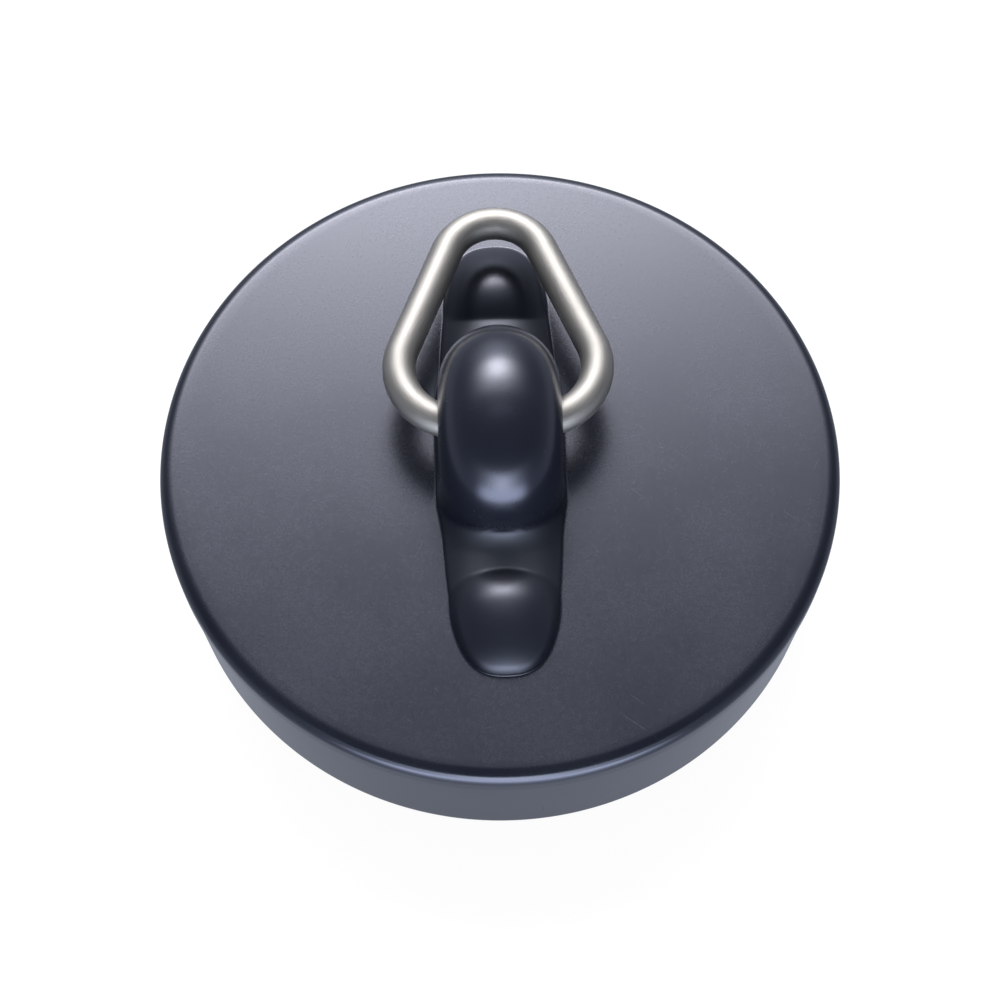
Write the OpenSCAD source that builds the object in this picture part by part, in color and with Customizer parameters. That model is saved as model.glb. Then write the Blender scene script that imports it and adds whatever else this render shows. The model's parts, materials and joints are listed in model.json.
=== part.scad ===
// Sink plug: a moulded plug body with a lug on top, and a bent-wire pull ring
// that swings in the lug's cross bore.
// Millimetres, +Z up. The origin is the centre of the rim that rests in the
// waste outlet. The lug runs along Y and its cross bore along X.
// The ring is drawn lying back along +Y.

/* [Plug disc] */
// Diameter of the top face and the land below it
plug_d = 50; // [46:0.5:56]
// Diameter at the bottom rim, where the skirt is narrowest
rim_d = 49.3; // [45:0.1:49.5]
// Height from the bottom rim to the top face
plug_h = 11.5; // [10:0.25:15]
// Radius of the rounded top edge
top_edge_r = 1.1; // [0.5:0.1:2]
// Height of the straight land below the rounded top edge
land_h = 1.0; // [0.5:0.1:2]
// Radius of the rounded edges of the bottom rim
rim_edge_r = 0.5; // [0.2:0.1:0.8]

/* [Underside recess] */
// Thickness of the skirt at the bottom rim
skirt_t = 3.6; // [3:0.1:5]
// Thickness of the plate between the recess and the top face
plate_t = 4.0; // [3:0.1:5]
// Narrowing of the recess towards its roof, on the radius
recess_draft = 0.6; // [0.2:0.1:1]
// Radius of the fillet around the roof of the recess
recess_fillet_r = 2.0; // [1:0.1:3]

/* [Lug] */
// Length of the lug's foot on the top face
lug_l = 35.2; // [34:0.1:36]
// Width of the lug's foot on the top face
lug_w = 9.36; // [9:0.02:9.8]
// Length of the knob over the bore, at its widest level
knob_l = 15.2; // [14.6:0.1:15.6]
// Width of the knob across the bore. Its rim is a full round of this size
knob_w = 8.8; // [8.4:0.1:9]
// Height of the knob's widest level above the top face
knob_z = 3.05; // [2.8:0.05:3.4]
// Rise of the knob above its widest level
knob_rise = 7.15; // [6.8:0.05:7.4]
// Height of each shoulder's crest above the top face
crest_h = 2.6; // [2.4:0.1:2.8]
// Distance of each shoulder's crest from the bore
crest_y = 12.7; // [12.4:0.1:13]
// Radius along the lug, from a crest towards the knob
crest_in_r = 4.2; // [3.8:0.1:6]
// Radius along the lug, from a crest towards the end
crest_out_r = 6.2; // [5.6:0.1:6.4]
// Radius of a shoulder across the lug
crest_across_r = 4.5; // [4.4:0.1:6]
// Height of the valley where it leaves the knob
valley_h = 1.95; // [1.6:0.05:2.1]
// Radius of the valley across the lug
valley_across_r = 6.0; // [5:0.1:10]

/* [Pull ring] */
// Diameter of the wire
wire_d = 2.4; // [2:0.1:2.6]
// Length of the straight wire on each side of the bore's middle
base_straight = 2.65; // [2.4:0.05:3]
// Angle between each leg and the line through the middle of the ring
leg_angle = 22; // [20:1:24]
// Bend radius at the two base corners
base_bend_r = 4.5; // [4:0.1:4.6]
// Bend radius at the apex
apex_bend_r = 3.8; // [3.4:0.1:4.2]
// Gap between the two wire ends, hidden inside the bore
end_gap = 0.3; // [0.1:0.1:1]
// Height of the bore's axis above the top face
bore_h = 4.6; // [4.4:0.1:5]
// Radial clearance between the wire and the bore
bore_clearance = 0.07; // [0.03:0.01:0.1]

/* [Hidden] */

$fn = 96;
overlap = 1;
tiny = 0.001;
plug_r = plug_d / 2;
rim_r = rim_d / 2;
wire_r = wire_d / 2;
bore_r = wire_r + bore_clearance;
bore_z = plug_h + bore_h;
recess_r = rim_r - skirt_t;
recess_h = plug_h - plate_t;
half_l = lug_l / 2;
half_w = lug_w / 2;
knob_r = knob_l / 2;
knob_edge_r = knob_w / 2;

// Finer traits of the lug
knob_power = 2.2; // superellipse of the knob's side outline
knob_draft = 0.09; // widening of the knob below its widest level, per millimetre
hollow_side_r = 1.0; // fillet along the knob's sides
hollow_end_r = 1.5; // fillet at the knob's two ends
hollow_power = 4; // how late the first fillet turns into the second
valley_fall = 0.07; // fall of the valley towards the shoulder, per millimetre
valley_drop = 1.5; // and beyond the crest, where the shoulder hides it
valley_blend = 0.2; // softness of the crease between valley and shoulder
edge_r = 0.6; // rounded upper edge of the foot
plan_power = 2.9; // superellipse of the lug's plan

// Half width of the lug's foot at the distance y from the bore
function foot_half_w(y) = half_w * pow(1 - pow(y / half_l, plan_power), 1 / plan_power);

// Drop of an arc of radius r at the distance run from its top
function dome(r, run) = r - sqrt(max(0, r * r - run * run));

// Height of the top of the base, valley or shoulder, with the crease between them softened
function base_h(x, y) =
    let (fall = valley_fall * max(0, y - knob_r) + valley_drop * max(0, y - crest_y))
    let (valley = valley_h - fall - dome(valley_across_r, x))
    let (along_r = y < crest_y ? crest_in_r : crest_out_r)
    let (crest = crest_h - dome(crest_across_r, x) - dome(along_r, y - crest_y))
    let (mix = max(0, valley_blend - abs(crest - valley)))
    max(valley, crest) + mix * mix / (4 * valley_blend);

// Distance outside the upright wall of the foot
function wall_gap(x, y) =
    let (p = plan_power, size = pow(pow(x / half_w, p) + pow(y / half_l, p), 1 / p))
    let (slope_x = pow(x, p - 1) / pow(half_w, p), slope_y = pow(y, p - 1) / pow(half_l, p))
    (size - 1) / (pow(size, 1 - p) * norm([slope_x, slope_y]));

// Distance outside the base, whose upper edge is rounded
function base_gap(x, y, z) = let (top = z - base_h(x, y), wall = wall_gap(x, y))
    min(-edge_r, max(top, wall)) + norm([max(0, top + edge_r), max(0, wall + edge_r)]);

// Distance outside the knob
function knob_gap(x, y, z) =
    let (up = max(0, z - knob_z) * knob_r / knob_rise)
    let (out = pow(pow(y, knob_power) + pow(up, knob_power), 1 / knob_power))
    norm([x, max(0, out - knob_r + knob_edge_r)]) - knob_edge_r
    - knob_draft * max(0, knob_z - z);

// Distance outside the whole lug, for x and y from the bore and z from the top face
function lug_gap(x, y, z) =
    let (knob = knob_gap(x, y, z), base = base_gap(x, y, z))
    let (share = pow(min(1, y / knob_r), hollow_power))
    let (r = hollow_side_r + (hollow_end_r - hollow_side_r) * share)
    max(r, min(knob, base)) - norm([max(0, r - knob), max(0, r - base)]);

// Height of the lug at a point, found by halving the range it lies in
halvings = 16;
function lug_h(x, y, low, high, n) =
    n == 0 ? low
    : let (middle = (low + high) / 2)
        lug_gap(x, y, middle) < 0 ? lug_h(x, y, middle, high, n - 1)
        : lug_h(x, y, low, middle, n - 1);

// Section of the lug at y, a loop from the foot on one side to the foot on the other
section_steps = 18;
function section(y) =
    let (w = foot_half_w(abs(y)), top = knob_z + knob_rise + overlap)
    let (half = [for (i = [0:section_steps]) let (x = w * sin(90 * i / section_steps))
        [x, lug_h(max(x, tiny), max(abs(y), tiny), -overlap / 2, top, halvings)]])
    concat([[-w, y, -overlap]],
           [for (i = [section_steps:-1:1]) [-half[i][0], y, half[i][1]]],
           [for (p = half) [p[0], y, p[1]]],
           [[w, y, -overlap]]);

// Closed skin over rows of points, each row a loop of the same length
module skin(rows) {
    n = len(rows[0]);
    m = len(rows);
    points = [for (row = rows) for (p = row) p];
    sides = [for (i = [0:m - 2]) for (j = [0:n - 1]) let (k = (j + 1) % n)
        each [[i * n + j, (i + 1) * n + j, i * n + k],
              [i * n + k, (i + 1) * n + j, (i + 1) * n + k]]];
    near_cap = [[for (j = [0:n - 1]) j]];
    far_cap = [[for (j = [n - 1:-1:0]) (m - 1) * n + j]];
    polyhedron(points, concat(sides, near_cap, far_cap), convexity = 6);
}

// The stations lie closer together towards the ends of the lug
module lug() {
    stations = 80;
    translate([0, 0, plug_h])
        skin([for (i = [1:stations - 1]) section(-half_l * cos(180 * i / stations))]);
}

// Half section of the disc, with a rounded top edge and a rounded rim edge
module disc_profile() {
    straight_z = plug_h - top_edge_r;
    polygon([[0, 0], [rim_r - rim_edge_r, 0], [rim_r, rim_edge_r],
             [plug_r, straight_z - land_h], [plug_r, straight_z],
             [plug_r - top_edge_r, plug_h], [0, plug_h]]);
    translate([plug_r - top_edge_r, straight_z])
        circle(top_edge_r);
    translate([rim_r - rim_edge_r, rim_edge_r])
        circle(rim_edge_r);
}

// Half section of the recess under the plate
module recess_profile() {
    roof_r = recess_r - recess_draft;
    polygon([[0, -overlap], [recess_r, -overlap], [recess_r, 0],
             [roof_r, recess_h - recess_fillet_r],
             [roof_r - recess_fillet_r, recess_h], [0, recess_h]]);
    translate([roof_r - recess_fillet_r, recess_h - recess_fillet_r])
        circle(recess_fillet_r);
}

// Cross bore. Its mouths flare so that the bent wire clears them at any angle.
module bore_cut() {
    flare_r = base_bend_r - bore_r;
    translate([0, 0, bore_z]) {
        rotate([0, 90, 0])
            cylinder(h = lug_w + 2 * overlap, r = bore_r, center = true);
        for (side = [-1, 1])
            rotate([0, side * 90, 0])
                translate([0, 0, base_straight])
                    rotate_extrude()
                        difference() {
                            square([base_bend_r, flare_r * 0.9]);
                            translate([base_bend_r, 0])
                                circle(flare_r);
                        }
    }
}

module plug_body() {
    color([0.16, 0.17, 0.2])
        difference() {
            union() {
                rotate_extrude()
                    disc_profile();
                lug();
            }
            rotate_extrude()
                recess_profile();
            bore_cut();
        }
}

// Places along a bend of the wire, each [x, y, angle of the outside of the bend]
bend_steps = 14;
function bend(x, y, r, from, to) = [for (i = [0:bend_steps])
    let (a = from + (to - from) * i / bend_steps) [x + r * cos(a), y + r * sin(a), a]];

// Loop of points around the wire at one of those places
wire_sides = 28;
function wire_loop(place, r) = [for (i = [0:wire_sides - 1]) let (a = -360 * i / wire_sides)
    [place[0] + r * cos(a) * cos(place[2]), place[1] + r * cos(a) * sin(place[2]), r * sin(a)]];

// The wire goes from one end in the bore around the triangle to the other end.
// The two ends that turn in the bore are true cylinders.
module pull_ring() {
    leg = (base_straight + (base_bend_r - apex_bend_r) * cos(leg_angle)) / sin(leg_angle);
    apex_y = base_bend_r + leg * cos(leg_angle)
        + (base_bend_r - apex_bend_r) * sin(leg_angle);
    from_middle = base_straight / 2;
    places = concat(
        [[from_middle, 0, -90]],
        bend(base_straight, base_bend_r, base_bend_r, -90, leg_angle),
        bend(0, apex_y, apex_bend_r, leg_angle, 180 - leg_angle),
        bend(-base_straight, base_bend_r, base_bend_r, 180 - leg_angle, 270),
        [[-from_middle, 0, 270]]);
    join = 0.05;
    color([0.75, 0.75, 0.73])
        translate([0, 0, bore_z]) {
            skin([for (place = places) wire_loop(place, wire_r * 0.998)]);
            for (side = [-1, 1])
                rotate([0, side * 90, 0])
                    translate([0, 0, end_gap / 2])
                        cylinder(h = base_straight - join - end_gap / 2, r = wire_r);
        }
}

plug_body();
pull_ring();
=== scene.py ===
"""Sink plug with a wire pull ring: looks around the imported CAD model.

Shapes are worked out in millimetres about the bottom rim's centre, then scaled to metres.
"""
import json
import math

import bmesh
import bpy
import numpy as np
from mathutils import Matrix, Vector


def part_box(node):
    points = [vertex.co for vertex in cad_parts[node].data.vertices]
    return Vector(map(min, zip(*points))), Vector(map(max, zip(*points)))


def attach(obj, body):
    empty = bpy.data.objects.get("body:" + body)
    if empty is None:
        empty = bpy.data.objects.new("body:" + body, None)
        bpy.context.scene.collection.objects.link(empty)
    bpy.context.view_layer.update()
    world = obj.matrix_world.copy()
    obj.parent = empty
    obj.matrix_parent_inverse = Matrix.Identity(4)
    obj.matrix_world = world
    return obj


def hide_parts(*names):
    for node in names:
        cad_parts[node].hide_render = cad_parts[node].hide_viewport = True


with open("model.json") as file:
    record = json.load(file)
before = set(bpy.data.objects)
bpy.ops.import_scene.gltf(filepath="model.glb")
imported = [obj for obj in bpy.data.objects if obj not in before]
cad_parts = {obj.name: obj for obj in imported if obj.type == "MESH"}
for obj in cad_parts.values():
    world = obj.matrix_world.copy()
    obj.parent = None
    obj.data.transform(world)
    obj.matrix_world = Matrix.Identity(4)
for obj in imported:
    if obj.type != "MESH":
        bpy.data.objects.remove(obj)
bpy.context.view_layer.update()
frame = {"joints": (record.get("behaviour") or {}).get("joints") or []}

MM = 0.001
SWING = frame["joints"][0]


def box_mm(node):
    """Lowest and highest corners of a CAD node, in millimetres."""
    low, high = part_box(node)
    return np.array(low) / MM, np.array(high) / MM


# ---------------------------------------------------------------- driving sizes, in millimetres
body_low, body_high = box_mm("plug_body")
ring_low, ring_high = box_mm("pull_ring")

KNOB_R = 7.6           # half length of the knob over the bore
KNOB_Z = 3.05          # its centre, above the top face
KNOB_RISE = 7.15       # its height above that centre
KNOB_POWER = 2.2       # superellipse of its side outline
KNOB_HALF_W = 4.4      # half its width across the bore, and the radius of its full round
KNOB_DRAFT = 0.09      # widening of its sides per millimetre below the centre
HOLLOW_R = 1.0         # fillet along the knob's sides
HOLLOW_END_R = 1.5     # and at its two ends
HOLLOW_POWER = 4       # how late the first fillet turns into the second
VALLEY_H = 1.95        # base where it leaves the knob
VALLEY_FALL = 0.07     # its fall towards the shoulder, per millimetre
VALLEY_DROP = 1.5      # and beyond the crest, where the shoulder hides it
VALLEY_ACROSS_R = 6.0
VALLEY_BLEND = 0.2     # softness of the crease between valley and shoulder
CREST_Y = 12.7         # crest of each shoulder
CREST_H = 2.6
CREST_IN_R = 4.2       # along the lug, towards the knob
CREST_OUT_R = 6.2      # and away from it
CREST_ACROSS_R = 4.5
SIDE_EDGE_R = 0.6      # rounded edge around the lug
LUG_HALF_L = 17.6
LUG_HALF_W = 4.68
PLAN_POWER = 2.9       # superellipse of the lug's plan
FOOT_R = 0.18          # fillet where the lug meets the top face
ABOVE_LUG = KNOB_Z + KNOB_R + 0.1
NEARLY_ZERO = 1e-6
HALVINGS = 30          # steps that find the lug's height

PLUG_R = (body_high[0] - body_low[0]) / 2
TOP_Z = body_high[2] - KNOB_Z - KNOB_RISE
TOP_EDGE_R = 1.1
LAND_H = 1.0
LAND_STEP = 0.08       # shallow step under the land, below a groove twice as deep
LAND_CORNER = 0.05     # chamfer at the land's lower corner
GROOVE_H = 0.08
GROOVE_END = 0.14      # where the groove has come out to the step
RIM_R = 24.65
RIM_EDGE_R = 0.5
SKIRT_T = 3.6
PLATE_T = 4.0
RECESS_DRAFT = 0.6
RECESS_FILLET_R = 2.0

WIRE_R = (ring_high[2] - ring_low[2]) / 2
BORE_R = WIRE_R + 0.07
BORE_Z = SWING["pos_m"][2] / MM
BASE_STRAIGHT = 2.65   # straight wire on each side of the bore's middle
BASE_BEND_R = 4.5
APEX_BEND_R = 3.8
LEG_ANGLE = math.radians(22)
END_GAP = 0.3
END_TAPER = 0.86       # radius of the wire's two cut ends, as a share of the wire's

KNOB_POLISH = 0.02     # the polish ends this far outside the knob
MATTE_BLEND = 0.3      # distance over which the finish changes
SHOULDER_MATTE = 0.4   # matte on the shoulders' inner slopes
END_MATTE = 0.35       # and on the rest of the lug


# ---------------------------------------------------------------- lug surface
def dome(r, run):
    """Drop of an arc of radius r at the distance run from its top."""
    return r - np.sqrt(np.clip(r * r - run * run, 0, None))


def floor_h(x, y):
    """Height of the valley at a point. Beyond the crest it drops out of the way."""
    fall = VALLEY_FALL * np.clip(np.abs(y) - KNOB_R, 0, None)
    drop = VALLEY_DROP * np.clip(np.abs(y) - CREST_Y, 0, None)
    return VALLEY_H - (fall + drop) - dome(VALLEY_ACROSS_R, x)


def crest_h(x, y):
    """Height of the domed shoulder at a point."""
    run = np.abs(y) - CREST_Y
    return CREST_H - dome(CREST_ACROSS_R, x) - dome(np.where(run < 0, CREST_IN_R, CREST_OUT_R), run)


def knob_gap(x, y, z):
    """Distance outside the knob over the bore."""
    up = np.clip(z - KNOB_Z, 0, None) * KNOB_R / KNOB_RISE
    out = (np.abs(y) ** KNOB_POWER + up ** KNOB_POWER) ** (1 / KNOB_POWER)
    gap = np.hypot(x, np.clip(out - KNOB_R + KNOB_HALF_W, 0, None)) - KNOB_HALF_W
    return gap - KNOB_DRAFT * np.clip(KNOB_Z - z, 0, None)


def base_gap(x, y, z):
    """Distance outside the long base with its two shoulders."""
    w, l, p = LUG_HALF_W, LUG_HALF_L, PLAN_POWER
    x, y = np.abs(x), np.abs(y)
    size = np.maximum(((x / w) ** p + (y / l) ** p) ** (1 / p), NEARLY_ZERO)
    slope = size ** (1 - p) * np.hypot(x ** (p - 1) / w ** p, y ** (p - 1) / l ** p)
    wall = (size - 1) / np.maximum(slope, NEARLY_ZERO)
    floor, crest = floor_h(x, y), crest_h(x, y)
    mix = np.clip(VALLEY_BLEND - np.abs(crest - floor), 0, None)
    top = z - np.maximum(floor, crest) - mix * mix / (4 * VALLEY_BLEND)
    r = SIDE_EDGE_R
    rounding = np.hypot(np.clip(top + r, 0, None), np.clip(wall + r, 0, None))
    return np.minimum(-r, np.maximum(top, wall)) + rounding


def lug_gap(x, y, z):
    """Distance outside the lug's surface, for x and y from the bore and z from the top face."""
    knob, base = knob_gap(x, y, z), base_gap(x, y, z)
    share = np.clip(np.abs(y) / KNOB_R, 0, 1) ** HOLLOW_POWER
    r = HOLLOW_R + (HOLLOW_END_R - HOLLOW_R) * share
    hollow = np.hypot(np.clip(r - knob, 0, None), np.clip(r - base, 0, None))
    return np.maximum(r, np.minimum(knob, base)) - hollow


def matte(x, y, z):
    """How matte the moulding stays: 0 on the polished knob, 1 in the hollows around it."""
    off_knob = np.clip((knob_gap(x, y, z) - KNOB_POLISH) / MATTE_BLEND, 0, 1)
    off_shoulder = (floor_h(x, y) - crest_h(x, y)) / MATTE_BLEND + SHOULDER_MATTE
    in_valley = np.clip(off_shoulder, SHOULDER_MATTE, 1) * (np.abs(y) < CREST_Y)
    return off_knob * np.maximum(in_valley, END_MATTE)


def lug_h(x, y):
    """Height of the lug over a point of the top face, found by halving."""
    low, high = np.zeros_like(x), np.full_like(x, ABOVE_LUG)
    for _ in range(HALVINGS):
        middle = (low + high) / 2
        inside = lug_gap(x, y, middle) < 0
        low, high = np.where(inside, middle, low), np.where(inside, high, middle)
    return low


# ---------------------------------------------------------------- mesh helpers
MERGE_DIST = 1e-7      # in metres
DEGENERATE_DIST = 1e-8


def grid_faces(rows, n):
    """Quads between rows of n points, each row a closed loop."""
    i, j = np.meshgrid(np.arange(rows - 1), np.arange(n), indexing="ij")
    k = (j + 1) % n
    quads = np.stack([i * n + j, i * n + k, (i + 1) * n + k, (i + 1) * n + j], axis=-1)
    return quads.reshape(-1, 4).tolist()


def tube_faces(rows, n):
    """The same, with a cap on the first and the last row."""
    last = (rows - 1) * n
    return grid_faces(rows, n) + [list(range(n))[::-1], [last + k for k in range(n)]]


def new_object(name, points_mm, faces, sharp_deg=38):
    """Mesh object in metres, cleaned, with smooth faces and sharp edges above an angle."""
    mesh = bpy.data.meshes.new(name)
    mesh.from_pydata((np.asarray(points_mm) * MM).tolist(), [], faces)
    obj = bpy.data.objects.new(name, mesh)
    bpy.context.collection.objects.link(obj)
    finish_mesh(obj, sharp_deg)
    return obj


def finish_mesh(obj, sharp_deg):
    """Cleans a mesh, smooths its faces and keeps edges above an angle sharp."""
    bm = bmesh.new()
    bm.from_mesh(obj.data)
    bmesh.ops.remove_doubles(bm, verts=bm.verts, dist=MERGE_DIST)
    bmesh.ops.dissolve_degenerate(bm, edges=bm.edges, dist=DEGENERATE_DIST)
    bmesh.ops.recalc_face_normals(bm, faces=bm.faces)
    for face in bm.faces:
        face.smooth = True
    for edge in bm.edges:
        if len(edge.link_faces) == 2 and edge.calc_face_angle(0) > math.radians(sharp_deg):
            edge.smooth = False
    bm.to_mesh(obj.data)
    bm.free()


def arc_points(c, r, start_deg, end_deg, steps):
    """Points of a profile arc about c, from one angle to another."""
    angles = np.radians(np.linspace(start_deg, end_deg, steps + 1))
    return [(c[0] + r * math.cos(a), c[1] + r * math.sin(a)) for a in angles]


def straight_points(start, end, shares):
    """Points of a profile between two places, at shares of the way."""
    start, end = np.array(start), np.array(end)
    return [tuple(start + (end - start) * s) for s in shares]


# ---------------------------------------------------------------- plug body
AROUND = 512           # points around every loop of the plug
LUG_ROWS = 46
SPINE_END = 14.4       # the lug's rows gather on a spine of this half length
OUTLINE_SAMPLES = 40001
PATH_SAMPLES = 500     # heights looked up from the foot to the spine
PATH_POWER = 4         # how strongly they gather at the foot
FOOT_STEPS = 9         # rows of the foot fillet
FLAT_ROWS = 30         # rows from the lug to the edge of the top face
FLAT_POWER = 1.4       # how strongly they gather at the lug
BORE_SIDES = 96
BORE_STEPS = 16        # rings of points along each flared mouth
BORE_OVERSHOOT = 0.9   # length of the cutter beyond the lug's side
PLUG_SHARP_DEG = 30
RING_SHARP_DEG = 50


def foot_outline():
    """Evenly spaced points around the lug's foot and their outward normals."""
    a = np.linspace(0, 2 * np.pi, OUTLINE_SAMPLES)
    x = LUG_HALF_W * np.sign(np.cos(a)) * np.abs(np.cos(a)) ** (2 / PLAN_POWER)
    y = LUG_HALF_L * np.sign(np.sin(a)) * np.abs(np.sin(a)) ** (2 / PLAN_POWER)
    run = np.concatenate([[0], np.cumsum(np.hypot(np.diff(x), np.diff(y)))])
    even = run[-1] * np.arange(AROUND) / AROUND
    x, y = np.interp(even, run, x), np.interp(even, run, y)
    nx = np.sign(x) * np.abs(x / LUG_HALF_W) ** (PLAN_POWER - 1) / LUG_HALF_W
    ny = np.sign(y) * np.abs(y / LUG_HALF_L) ** (PLAN_POWER - 1) / LUG_HALF_L
    size = np.hypot(nx, ny)
    return np.stack([x, y], 1), np.stack([nx / size, ny / size], 1)


def lug_rows(outline):
    """Rows of points from the spine down to the top of the foot fillet, row by row."""
    spine = np.stack([np.zeros(AROUND), np.clip(outline[:, 1], -SPINE_END, SPINE_END)], 1)
    inward = np.linspace(0, 1, PATH_SAMPLES)[None, :, None] ** PATH_POWER
    path = outline[:, None] + (spine - outline)[:, None] * inward
    height = lug_h(path[..., 0], path[..., 1])
    rows = np.zeros((LUG_ROWS + 1, AROUND, 3))
    for k in range(AROUND):
        z = height[k]
        start = int(np.argmax(z >= FOOT_R))
        first = path[k, start]
        if start:
            share = (FOOT_R - z[start - 1]) / (z[start] - z[start - 1])
            first = path[k, start - 1] + share * (path[k, start] - path[k, start - 1])
        p = np.vstack([[*first, FOOT_R], np.column_stack([path[k, start:], z[start:]])])
        run = np.concatenate([[0], np.cumsum(np.linalg.norm(np.diff(p, axis=0), axis=1))])
        even = np.linspace(run[-1], 0, LUG_ROWS + 1)
        for axis in range(3):
            rows[:, k, axis] = np.interp(even, run, p[:, axis])
    return rows


def disc_profile():
    """Radii and heights from the top face, from the rounded top edge to the recess's middle."""
    bottom = -TOP_Z
    inner = RIM_R - SKIRT_T
    roof_r = inner - RECESS_DRAFT
    roof_z = -PLATE_T
    land_z = -TOP_EDGE_R - LAND_H
    groove_r = PLUG_R - 2 * LAND_STEP
    corner_z = bottom + RIM_EDGE_R
    fillet_c = (roof_r - RECESS_FILLET_R, roof_z - RECESS_FILLET_R)
    points = arc_points((PLUG_R - TOP_EDGE_R, -TOP_EDGE_R), TOP_EDGE_R, 90, 0, 14)
    points += [(PLUG_R, land_z * 0.75), (PLUG_R, land_z + LAND_CORNER), (groove_r, land_z)]
    points += [(groove_r, land_z - GROOVE_H), (PLUG_R - LAND_STEP, land_z - GROOVE_END)]
    points += straight_points(points[-1], (RIM_R, corner_z), (0.02, 0.2, 0.4, 0.6, 0.8, 0.97, 1))
    points += arc_points((RIM_R - RIM_EDGE_R, corner_z), RIM_EDGE_R, 0, -90, 8)[1:]
    points += arc_points((inner + RIM_EDGE_R, corner_z), RIM_EDGE_R, -90, -180, 8)
    points += straight_points(points[-1], (roof_r, fillet_c[1]), (0.1, 0.5, 0.95, 1))
    points += arc_points(fillet_c, RECESS_FILLET_R, 0, 90, 12)[1:]
    points += [(fillet_c[0] * s, roof_z) for s in (0.97, 0.75, 0.5, 0.25, 0.1, 0.03)]
    return points


def build_plug():
    """One closed moulding: lug, foot fillet, top face, land, skirt and recess, then the bore."""
    outline, normal = foot_outline()
    rows = list(lug_rows(outline))
    foot = rows[-1][:, :2].copy()
    for a in np.radians(np.linspace(0, 90, FOOT_STEPS))[1:]:
        offset = FOOT_R * (1 - math.cos(a))
        z = FOOT_R * (1 - math.sin(a))
        rows.append(np.column_stack([foot + normal * offset, np.full(AROUND, z)]))
    turn = 2 * np.pi * np.arange(AROUND) / AROUND
    circle = np.stack([np.cos(turn), np.sin(turn)], 1)
    inner = rows[-1][:, :2]
    outer = circle * (PLUG_R - TOP_EDGE_R)
    for s in np.linspace(0, 1, FLAT_ROWS)[1:-1] ** FLAT_POWER:
        rows.append(np.column_stack([inner + (outer - inner) * s, np.zeros(AROUND)]))
    for r, z in disc_profile():
        rows.append(np.column_stack([circle * r, np.full(AROUND, z)]))
    points = np.concatenate(rows)
    points[:, 2] += TOP_Z
    faces = grid_faces(len(rows), AROUND)
    last = (len(rows) - 1) * AROUND
    faces.append([last + k for k in range(AROUND)][::-1])
    plug = new_object("plug_body_moulded", points, faces)
    cut_bore(plug)
    place = np.array([vertex.co for vertex in plug.data.vertices]) / MM - (0, 0, TOP_Z)
    field = plug.data.attributes.new("matte", "FLOAT", "POINT")
    field.data.foreach_set("value", matte(*place.T).astype(np.float32))
    return plug


def bore_radius(x):
    """Radius of the bore's cutter at the distance x from its middle."""
    bend = np.clip(np.abs(x) - BASE_STRAIGHT, 0, None)
    reach = BASE_BEND_R - BORE_R
    return BASE_BEND_R - np.sqrt(np.clip(reach ** 2 - bend ** 2, 0, None))


def cut_bore(plug):
    """Cuts the cross bore, with mouths flared for the bent wire."""
    half = LUG_HALF_W + BORE_OVERSHOOT
    x = np.concatenate([np.linspace(-half, -BASE_STRAIGHT, BORE_STEPS),
                        np.linspace(BASE_STRAIGHT, half, BORE_STEPS)])
    turn = 2 * np.pi * np.arange(BORE_SIDES) / BORE_SIDES
    points = [(p, r * math.cos(a), BORE_Z + r * math.sin(a))
              for p, r in zip(x, bore_radius(x)) for a in turn]
    faces = tube_faces(len(x), BORE_SIDES)
    cutter = new_object("bore_cutter", points, faces)
    cut = plug.modifiers.new("bore", "BOOLEAN")
    cut.operation = "DIFFERENCE"
    cut.solver = "EXACT"
    cut.object = cutter
    bpy.context.view_layer.objects.active = plug
    bpy.ops.object.modifier_apply(modifier=cut.name)
    bpy.data.objects.remove(cutter)
    finish_mesh(plug, PLUG_SHARP_DEG)


# ---------------------------------------------------------------- pull ring
WIRE_SIDES = 48
END_STEPS = 7          # places along each straight end in the bore
LEG_STEPS = 17         # steps along each leg
BASE_BEND_STEPS = 34
APEX_BEND_STEPS = 40


def wire_places():
    """Places along the wire's centre line: x, y and the angle of the outside of the bend."""
    spare_r = BASE_BEND_R - APEX_BEND_R
    leg = (BASE_STRAIGHT + spare_r * math.cos(LEG_ANGLE)) / math.sin(LEG_ANGLE)
    apex_y = BASE_BEND_R + leg * math.cos(LEG_ANGLE) + spare_r * math.sin(LEG_ANGLE)
    quarter, half = math.pi / 2, math.pi
    bends = [
        (BASE_STRAIGHT, BASE_BEND_R, BASE_BEND_R, -quarter, LEG_ANGLE, BASE_BEND_STEPS),
        (0, apex_y, APEX_BEND_R, LEG_ANGLE, half - LEG_ANGLE, APEX_BEND_STEPS),
        (-BASE_STRAIGHT, BASE_BEND_R, BASE_BEND_R, half - LEG_ANGLE, 3 * quarter,
         BASE_BEND_STEPS)]
    ends = np.linspace(END_GAP / 2, BASE_STRAIGHT, END_STEPS + 1)[:-1]
    places = [(x, 0, -quarter) for x in ends]
    for number, (x, y, r, start, end, steps) in enumerate(bends):
        angles = np.linspace(start, end, steps + 1)
        bend = [(x + r * math.cos(a), y + r * math.sin(a), a) for a in angles]
        if number:
            shares = np.linspace(0, 1, LEG_STEPS + 1)[1:-1]
            leg_points = straight_points(places[-1][:2], bend[0][:2], shares)
            places += [(*point, start) for point in leg_points]
        places += bend
    places += [(-x, 0, 3 * quarter) for x in ends[::-1]]
    return places


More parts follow.
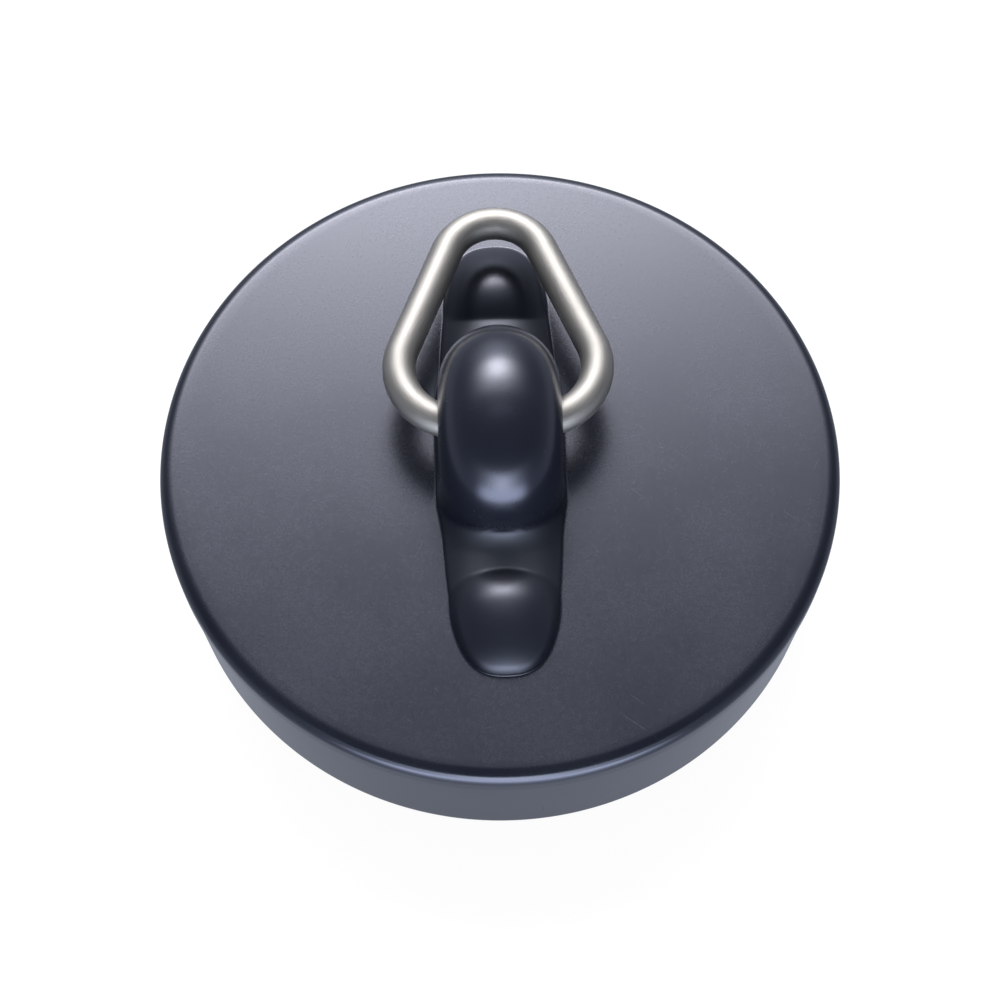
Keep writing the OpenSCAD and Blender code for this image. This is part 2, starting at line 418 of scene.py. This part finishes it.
def build_ring():
    """One length of wire, from its end in the bore around the triangle to the other end."""
    turn = -2 * np.pi * np.arange(WIRE_SIDES) / WIRE_SIDES
    places = wire_places()
    points, runs, length = [], [], 0.0
    for index, (x, y, out) in enumerate(places):
        if index:
            length += math.hypot(x - places[index - 1][0], y - places[index - 1][1])
        runs.append(length)
        r = WIRE_R
        if index in (0, len(places) - 1):
            r = WIRE_R * END_TAPER
        for a in turn:
            points.append((x + r * math.cos(a) * math.cos(out), y + r * math.cos(a) * math.sin(out),
                           BORE_Z + r * math.sin(a)))
    faces = tube_faces(len(places), WIRE_SIDES)
    ring = new_object("pull_ring_wire", points, faces, RING_SHARP_DEG)
    add_wire_map(ring, places, runs)
    return ring


def add_wire_map(ring, places, runs):
    """Stores, at each vertex, its distance along the wire and its place around it."""
    centres = np.array([(x, y) for x, y, _ in places])
    along = ring.data.attributes.new("along_mm", "FLOAT", "POINT")
    around = ring.data.attributes.new("around_mm", "FLOAT_VECTOR", "POINT")
    for index, vertex in enumerate(ring.data.vertices):
        p = np.array(vertex.co) / MM
        nearest = int(np.argmin(np.hypot(centres[:, 0] - p[0], centres[:, 1] - p[1])))
        x, y, out = places[nearest]
        across = (p[0] - x) * math.cos(out) + (p[1] - y) * math.sin(out)
        along.data[index].value = runs[nearest]
        around.data[index].vector = (across, p[2] - BORE_Z, 0)


# ---------------------------------------------------------------- material helpers
class Nodes:
    """Short way to build a node tree."""

    def __init__(self, tree):
        self.tree = tree
        tree.nodes.clear()

    def add(self, kind, inputs=None, **settings):
        node = self.tree.nodes.new(kind)
        for name, value in settings.items():
            setattr(node, name, value)
        for name, value in (inputs or {}).items():
            self.feed(node.inputs[name], value)
        return node

    def feed(self, socket, value):
        if isinstance(value, bpy.types.NodeSocket):
            self.tree.links.new(value, socket)
        else:
            socket.default_value = value

    def math(self, operation, *values, clamp=False):
        node = self.add("ShaderNodeMath", operation=operation, use_clamp=clamp)
        for socket, value in zip(node.inputs, values):
            self.feed(socket, value)
        return node.outputs[0]

    def ramp(self, value, low, high, to_low=0.0, to_high=1.0, smooth=True):
        """Value mapped from low..high to to_low..to_high, clamped."""
        node = self.add("ShaderNodeMapRange", {"Value": value, "From Min": low, "From Max": high,
                                               "To Min": to_low, "To Max": to_high})
        node.interpolation_type = "SMOOTHSTEP" if smooth else "LINEAR"
        return node.outputs["Result"]

    def noise(self, vector, scale, detail=2.0, roughness=0.5):
        node = self.add("ShaderNodeTexNoise", {"Vector": vector, "Scale": scale, "Detail": detail,
                                               "Roughness": roughness})
        return node.outputs["Fac"]

    def mix_value(self, factor, a, b):
        node = self.add("ShaderNodeMix", {"Factor": factor, "A": a, "B": b}, data_type="FLOAT")
        return node.outputs[0]

    def mix(self, share, a, b):
        node = self.add("ShaderNodeMix", data_type="RGBA")
        self.feed(node.inputs["Factor"], share)
        self.feed(node.inputs["A"], a)
        self.feed(node.inputs["B"], b)
        return node.outputs["Result"]

    def scaled(self, vector, scale):
        node = self.add("ShaderNodeVectorMath", {0: vector, 1: scale}, operation="MULTIPLY")
        return node.outputs[0]

    def varied(self, value, noise, amount):
        """Value moved up and down by a noise whose middle is a half."""
        swing = self.math("MULTIPLY", self.math("SUBTRACT", noise, 0.5), amount)
        return self.math("ADD", value, swing)

    def place_mm(self):
        """Place on the object, in millimetres."""
        return self.scaled(self.add("ShaderNodeTexCoord").outputs["Object"], (1 / MM,) * 3)

    def attribute(self, name, output="Fac"):
        return self.add("ShaderNodeAttribute", attribute_name=name).outputs[output]

    def surface(self, colour, rough, height_mm, **more):
        """Ends the tree with a principled surface, bumped by a height in millimetres."""
        height = self.math("MULTIPLY", height_mm, MM)
        bump = self.add("ShaderNodeBump", {"Height": height, "Strength": 1.0, "Distance": 1.0})
        inputs = {"Base Color": colour, "Roughness": rough, "Normal": bump.outputs[0]}
        inputs.update({name.replace("_", " "): value for name, value in more.items()})
        shader = self.add("ShaderNodeBsdfPrincipled", inputs)
        self.add("ShaderNodeOutputMaterial", {"Surface": shader.outputs[0]})


def new_material(name):
    material = bpy.data.materials.new(name)
    material.use_nodes = True
    return material, Nodes(material.node_tree)


RUBBER_DARK = (0.0075, 0.0092, 0.0155, 1)
RUBBER_LIGHT = (0.0105, 0.0125, 0.0195, 1)
SPECK_COLOUR = (0.05, 0.052, 0.06, 1)     # dust
VALLEY_SHEEN_COLOUR = (0.050, 0.056, 0.070, 1)   # painted sheen: pale colour in the hollows, standing for the light they reflect
RUBBER_IOR = 1.58
RUBBER_TINT = (0.75, 0.80, 1.0, 1)
DISC_ROUGH = 0.26
LUG_ROUGH = 0.24                          # where the lug is polished
HOLLOW_ROUGH = 0.26                       # added in its hollows
EDGE_ROUGH = -0.10                        # added on the rounded top edge
RUBBER_GRAIN_ROUGH = 0.12
RUBBER_CLOUD_ROUGH = 0.06
SCRATCH_ROUGH = 0.12
RUBBER_CLOUD, RUBBER_GRAIN, RUBBER_FINE = 0.11, 5.0, 16.0   # noise scales per millimetre
SPECK_SCALE = 0.55
SPECK_SIZE = (0.05, 0.02)
LUG_FADE = (0.05, 0.35)                   # heights over the top face where the lug's finish sets in
EDGE_FADE = (0.9, 0.1)                    # distances from the outside where the edge's does
SHEEN_FADE = (3.7, 1.0)                   # distances from the middle line where the painted sheen does
RUBBER_GRAIN_H = 0.0016                   # heights of the surface's relief, in millimetres
RUBBER_FINE_H = 0.0010
SCRATCH_H = 0.0012


def plug_material():
    """Dark slate moulded rubber: satin on the disc, glossier on the polished lug."""
    material, n = new_material("slate_rubber")
    mm = n.place_mm()
    split = n.add("ShaderNodeSeparateXYZ", {"Vector": mm})
    x, y, z = split.outputs["X"], split.outputs["Y"], split.outputs["Z"]
    on_lug = n.ramp(z, TOP_Z + LUG_FADE[0], TOP_Z + LUG_FADE[1])
    radius = n.math("SQRT", n.math("ADD", n.math("MULTIPLY", x, x), n.math("MULTIPLY", y, y)))
    on_edge = n.ramp(radius, PLUG_R - EDGE_FADE[0], PLUG_R - EDGE_FADE[1])

    cloud = n.noise(mm, RUBBER_CLOUD, 3.0)
    grain = n.noise(mm, RUBBER_GRAIN, 3.0, 0.6)
    fine = n.noise(mm, RUBBER_FINE, 2.0, 0.5)
    specks = n.add("ShaderNodeTexVoronoi", {"Vector": mm, "Scale": SPECK_SCALE})
    speck = n.ramp(specks.outputs["Distance"], *SPECK_SIZE)
    scratch = scratches(n, mm)

    colour = n.mix(n.ramp(cloud, 0.35, 0.65), RUBBER_DARK, RUBBER_LIGHT)
    colour = n.mix(n.math("MULTIPLY", speck, 0.5), colour, SPECK_COLOUR)
    # Painted sheen: the lug's hollows near its middle line are made paler, as reflected light would
    # make them.
    hollow = n.attribute("matte")
    middle = n.ramp(n.math("ABSOLUTE", x), *SHEEN_FADE)
    painted_sheen = n.math("MULTIPLY", n.math("MULTIPLY", n.ramp(hollow, 0.45, 0.95), middle), on_lug)
    colour = n.mix(painted_sheen, colour, VALLEY_SHEEN_COLOUR)

    lug_rough = n.math("ADD", LUG_ROUGH, n.math("MULTIPLY", hollow, HOLLOW_ROUGH))
    rough = n.mix_value(on_lug, DISC_ROUGH, lug_rough)
    rough = n.math("ADD", rough, n.math("MULTIPLY", on_edge, EDGE_ROUGH))
    rough = n.varied(rough, grain, RUBBER_GRAIN_ROUGH)
    rough = n.varied(rough, cloud, RUBBER_CLOUD_ROUGH)
    rough = n.math("ADD", rough, n.math("MULTIPLY", scratch, SCRATCH_ROUGH), clamp=True)

    height = n.math("ADD", n.math("MULTIPLY", grain, RUBBER_GRAIN_H),
                    n.math("MULTIPLY", fine, RUBBER_FINE_H))
    height = n.math("SUBTRACT", height, n.math("MULTIPLY", scratch, SCRATCH_H))
    n.surface(colour, rough, height, IOR=RUBBER_IOR, Specular_Tint=RUBBER_TINT)
    return material


def scratches(n, mm):
    """Mask of fine hairline scuffs in two directions."""
    lines = None
    for turn, stretch in ((0.5, 0.05), (-0.9, 0.07)):
        turned = n.add("ShaderNodeVectorRotate", {"Vector": mm, "Angle": turn},
                       rotation_type="Z_AXIS").outputs[0]
        thin = n.noise(n.scaled(turned, (2.6, stretch, 0.3)), 1.6, 3.0, 0.7)
        line = n.ramp(thin, 0.70, 0.76)
        lines = line if lines is None else n.math("MAXIMUM", lines, line)
    return lines


STEEL_DARK = (0.25, 0.247, 0.242, 1)
STEEL_LIGHT = (0.41, 0.406, 0.398, 1)
STEEL_ROUGH = 0.54
STEEL_LINE_ROUGH = 0.2
STEEL_CLOUD_ROUGH = 0.08
STEEL_LINES, STEEL_GRAIN, STEEL_CLOUD = 2.2, 7.0, 0.5       # noise scales
LINE_ALONG = 0.35                         # stretch of the drawing lines along the wire
LINE_AROUND = 7.0                         # and around it
STEEL_LINE_H = 0.0035                     # heights of the surface's relief, in millimetres
STEEL_GRAIN_H = 0.010


def steel_material():
    """Satin stainless wire with fine drawing lines along it."""
    material, n = new_material("stainless_wire")
    around = n.add("ShaderNodeSeparateXYZ", {"Vector": n.attribute("around_mm", "Vector")})
    drawn = n.add("ShaderNodeCombineXYZ", {
        "X": n.math("MULTIPLY", n.attribute("along_mm"), LINE_ALONG),
        "Y": n.math("MULTIPLY", around.outputs["X"], LINE_AROUND),
        "Z": n.math("MULTIPLY", around.outputs["Y"], LINE_AROUND)}).outputs[0]
    mm = n.place_mm()
    lines = n.noise(drawn, STEEL_LINES, 4.0, 0.6)
    grain = n.noise(mm, STEEL_GRAIN, 4.0, 0.7)
    cloud = n.noise(mm, STEEL_CLOUD, 2.0)
    colour = n.mix(lines, STEEL_DARK, STEEL_LIGHT)
    rough = n.varied(STEEL_ROUGH, lines, STEEL_LINE_ROUGH)
    rough = n.varied(rough, cloud, STEEL_CLOUD_ROUGH)
    height = n.math("ADD", n.math("MULTIPLY", lines, STEEL_LINE_H),
                    n.math("MULTIPLY", grain, STEEL_GRAIN_H))
    n.surface(colour, rough, height, Metallic=1.0)
    return material


# ---------------------------------------------------------------- studio
FLOOR_HALF = 3.0                     # in metres
FLOOR_DROP = 0.02                    # in millimetres, so that the rim doesn't share its plane
FLOOR_SEEN = 0.95                    # its own light towards the camera
FLOOR_LIT = (0.10, 0.10, 0.10, 1)    # the rest, which takes a faint shadow
FLOOR_GLOW = 0.42                    # its light in reflections
FLOOR_TONE = (0.90, 0.97, 1.15, 1)
POOL_SHARE = 0.8                     # brightness of the pool in front, as a share of the card's
POOL_AHEAD = (0.028, 0.075)          # where it sets in, in metres in front of the plug's middle
POOL_ASIDE = (0.9, 0.35)             # and how wide it is, as a slope to each side


def floor_material():
    """Plain pale floor, lit evenly for the camera, and brighter in front for reflections."""
    material, n = new_material("pale_floor")
    position = n.add("ShaderNodeNewGeometry").outputs["Position"]
    place = n.add("ShaderNodeSeparateXYZ", {"Vector": position})
    ahead = n.math("MULTIPLY", place.outputs["Y"], -1.0)
    away = n.math("MAXIMUM", ahead, 0.001)
    aside = n.math("DIVIDE", n.math("ABSOLUTE", place.outputs["X"]), away)
    pool = n.math("MULTIPLY", n.ramp(ahead, *POOL_AHEAD), n.ramp(aside, *POOL_ASIDE))
    seen = n.add("ShaderNodeLightPath").outputs["Is Camera Ray"]
    glow = n.math("ADD", FLOOR_GLOW, n.math("MULTIPLY", pool, FRONT_GLOW * POOL_SHARE))
    glow = n.add("ShaderNodeEmission", {"Color": FLOOR_TONE, "Strength": glow}).outputs[0]
    lit = n.add("ShaderNodeBsdfDiffuse", {"Color": FLOOR_LIT}).outputs[0]
    own = n.add("ShaderNodeEmission", {"Strength": FLOOR_SEEN}).outputs[0]
    plain = n.add("ShaderNodeAddShader", {0: own, 1: lit})
    shader = n.add("ShaderNodeMixShader", {0: seen, 1: glow, 2: plain.outputs[0]})
    n.add("ShaderNodeOutputMaterial", {"Surface": shader.outputs[0]})
    return material


def build_floor():
    half, z = FLOOR_HALF, -FLOOR_DROP * MM
    mesh = bpy.data.meshes.new("floor")
    corners = [(-half, -half, z), (half, -half, z), (half, half, z), (-half, half, z)]
    mesh.from_pydata(corners, [], [(0, 1, 2, 3)])
    floor = bpy.data.objects.new("floor", mesh)
    bpy.context.collection.objects.link(floor)
    mesh.materials.append(floor_material())


LAMP_ELEVATION = math.radians(47)
LAMP_AZIMUTH = math.radians(-3)
LAMP_CORE = (16.5, 0.31, 0.175)      # radiance, then width and height as direction components
LAMP_HALO = (3.2, 0.42, 0.25)
BACK_ELEVATION = math.radians(26)    # glow of the backdrop below the lamp
BACK_GLOW = (2.0, 0.42, 0.30)
TOP_ELEVATION = math.radians(82)     # faint panel overhead
TOP_GLOW = (0.8, 0.38, 0.10)
HORIZON_GLOW = 0.10                  # pale surroundings near the horizon
FRONT_GLOW = 8.0                     # radiance of the low white card in front
FRONT_TOP = math.radians(22)         # elevation of its upper edge
FRONT_BLUR = 0.06                    # softness of that edge, as a direction component
FRONT_WIDTH = 0.40
FRONT_AHEAD = (0.2, 0.6)             # where it sets in, towards the front
HORIZON_BAND = (0.45, 0.10)          # where the glow of the horizon sets in, going down
SPOT_FADE = 0.1                      # keeps each glow to its own side of the sky
AMBIENT = 0.10
CORE_TONE = (1.16, 1.08, 1.0, 1)     # warm
SOFT_TONE = (0.95, 1.0, 1.09, 1)     # cool, for everything but the core
SQUARE, ROUND = 4.0, 2.0             # powers of the fall-off: flat topped or bell shaped


def build_world():
    """Dark studio with one large soft lamp behind the plug and a low white card in front."""
    world = bpy.data.worlds.new("studio")
    bpy.context.scene.world = world
    world.use_nodes = True
    n = Nodes(world.node_tree)
    direction = n.add("ShaderNodeTexCoord").outputs["Generated"]

    def along(x, y, z):
        node = n.add("ShaderNodeVectorMath", {0: direction, 1: (x, y, z)}, operation="DOT_PRODUCT")
        return node.outputs["Value"]

    def bell(value, width, power=ROUND):
        scaled = n.math("ABSOLUTE", n.math("DIVIDE", value, width))
        return n.math("EXPONENT", n.math("MULTIPLY", n.math("POWER", scaled, power), -1.0))

    def spot(elevation, size, power=ROUND):
        e, a = elevation, LAMP_AZIMUTH
        radiance, width, height = size
        toward = along(math.sin(a) * math.cos(e), math.cos(a) * math.cos(e), math.sin(e))
        aside = along(math.cos(a), -math.sin(a), 0)
        above = along(-math.sin(a) * math.sin(e), -math.cos(a) * math.sin(e), math.cos(e))
        shape = n.math("MULTIPLY", bell(aside, width), bell(above, height, power))
        shape = n.math("MULTIPLY", shape, n.ramp(toward, -SPOT_FADE, SPOT_FADE))
        return n.math("MULTIPLY", shape, radiance)

    core = spot(LAMP_ELEVATION, LAMP_CORE, SQUARE)
    light = n.math("ADD", core, spot(LAMP_ELEVATION, LAMP_HALO))
    light = n.math("ADD", light, spot(BACK_ELEVATION, BACK_GLOW))
    light = n.math("ADD", light, spot(TOP_ELEVATION, TOP_GLOW))
    light = n.math("ADD", light, AMBIENT)
    up = along(0, 0, 1)
    edge = math.sin(FRONT_TOP)
    low = n.ramp(up, edge + FRONT_BLUR, edge - FRONT_BLUR)
    ahead = n.ramp(along(0, -1, 0), *FRONT_AHEAD)
    card = n.math("MULTIPLY", low, n.math("MULTIPLY", bell(along(1, 0, 0), FRONT_WIDTH), ahead))
    light = n.math("ADD", n.math("MULTIPLY", card, FRONT_GLOW), light)
    light = n.math("ADD", n.math("MULTIPLY", n.ramp(up, *HORIZON_BAND), HORIZON_GLOW), light)
    tone = n.mix(n.math("DIVIDE", core, light), SOFT_TONE, CORE_TONE)
    seen = n.add("ShaderNodeLightPath").outputs["Is Camera Ray"]
    background = n.add("ShaderNodeBackground", {"Color": n.mix(seen, tone, (1, 1, 1, 1)),
                                                "Strength": n.mix_value(seen, light, 1.0)})
    n.add("ShaderNodeOutputWorld", {"Surface": background.outputs[0]})


CAMERA_SENSOR = 36
CAMERA_LENS = 67.53
CAMERA_NEAR = 0.01                   # in metres
CAMERA_ELEVATION = math.radians(63.39)
CAMERA_AZIMUTH = math.radians(-1.7)
CAMERA_DISTANCE = 5.5                # from the top face's centre, in plug radii
CAMERA_TILT = math.radians(1.50)     # aim below that centre


def build_camera():
    """Camera above and in front, looking down at the plug."""
    camera = bpy.data.cameras.new("camera")
    camera.sensor_width = CAMERA_SENSOR
    camera.lens = CAMERA_LENS
    camera.clip_start = CAMERA_NEAR
    view = bpy.data.objects.new("camera", camera)
    bpy.context.collection.objects.link(view)
    e, a = CAMERA_ELEVATION, CAMERA_AZIMUTH
    back = Vector((math.sin(a) * math.cos(e), -math.cos(a) * math.cos(e), math.sin(e)))
    view.location = Vector((0, 0, TOP_Z * MM)) + back * (CAMERA_DISTANCE * PLUG_R * MM)
    right = Vector((math.cos(a), math.sin(a), 0))
    up = back.cross(right)
    aim = back * math.cos(CAMERA_TILT) + up * math.sin(CAMERA_TILT)
    view.rotation_euler = aim.to_track_quat("Z", "Y").to_euler()
    bpy.context.scene.camera = view


def build_studio():
    build_floor()
    build_world()
    build_camera()
    bpy.context.scene.view_settings.view_transform = "Standard"


# ---------------------------------------------------------------- assembly
plug = build_plug()
plug.data.materials.append(plug_material())
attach(plug, "plug")
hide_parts("plug_body")

ring = build_ring()
ring.data.materials.append(steel_material())
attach(ring, "ring")
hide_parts("pull_ring")

build_studio()
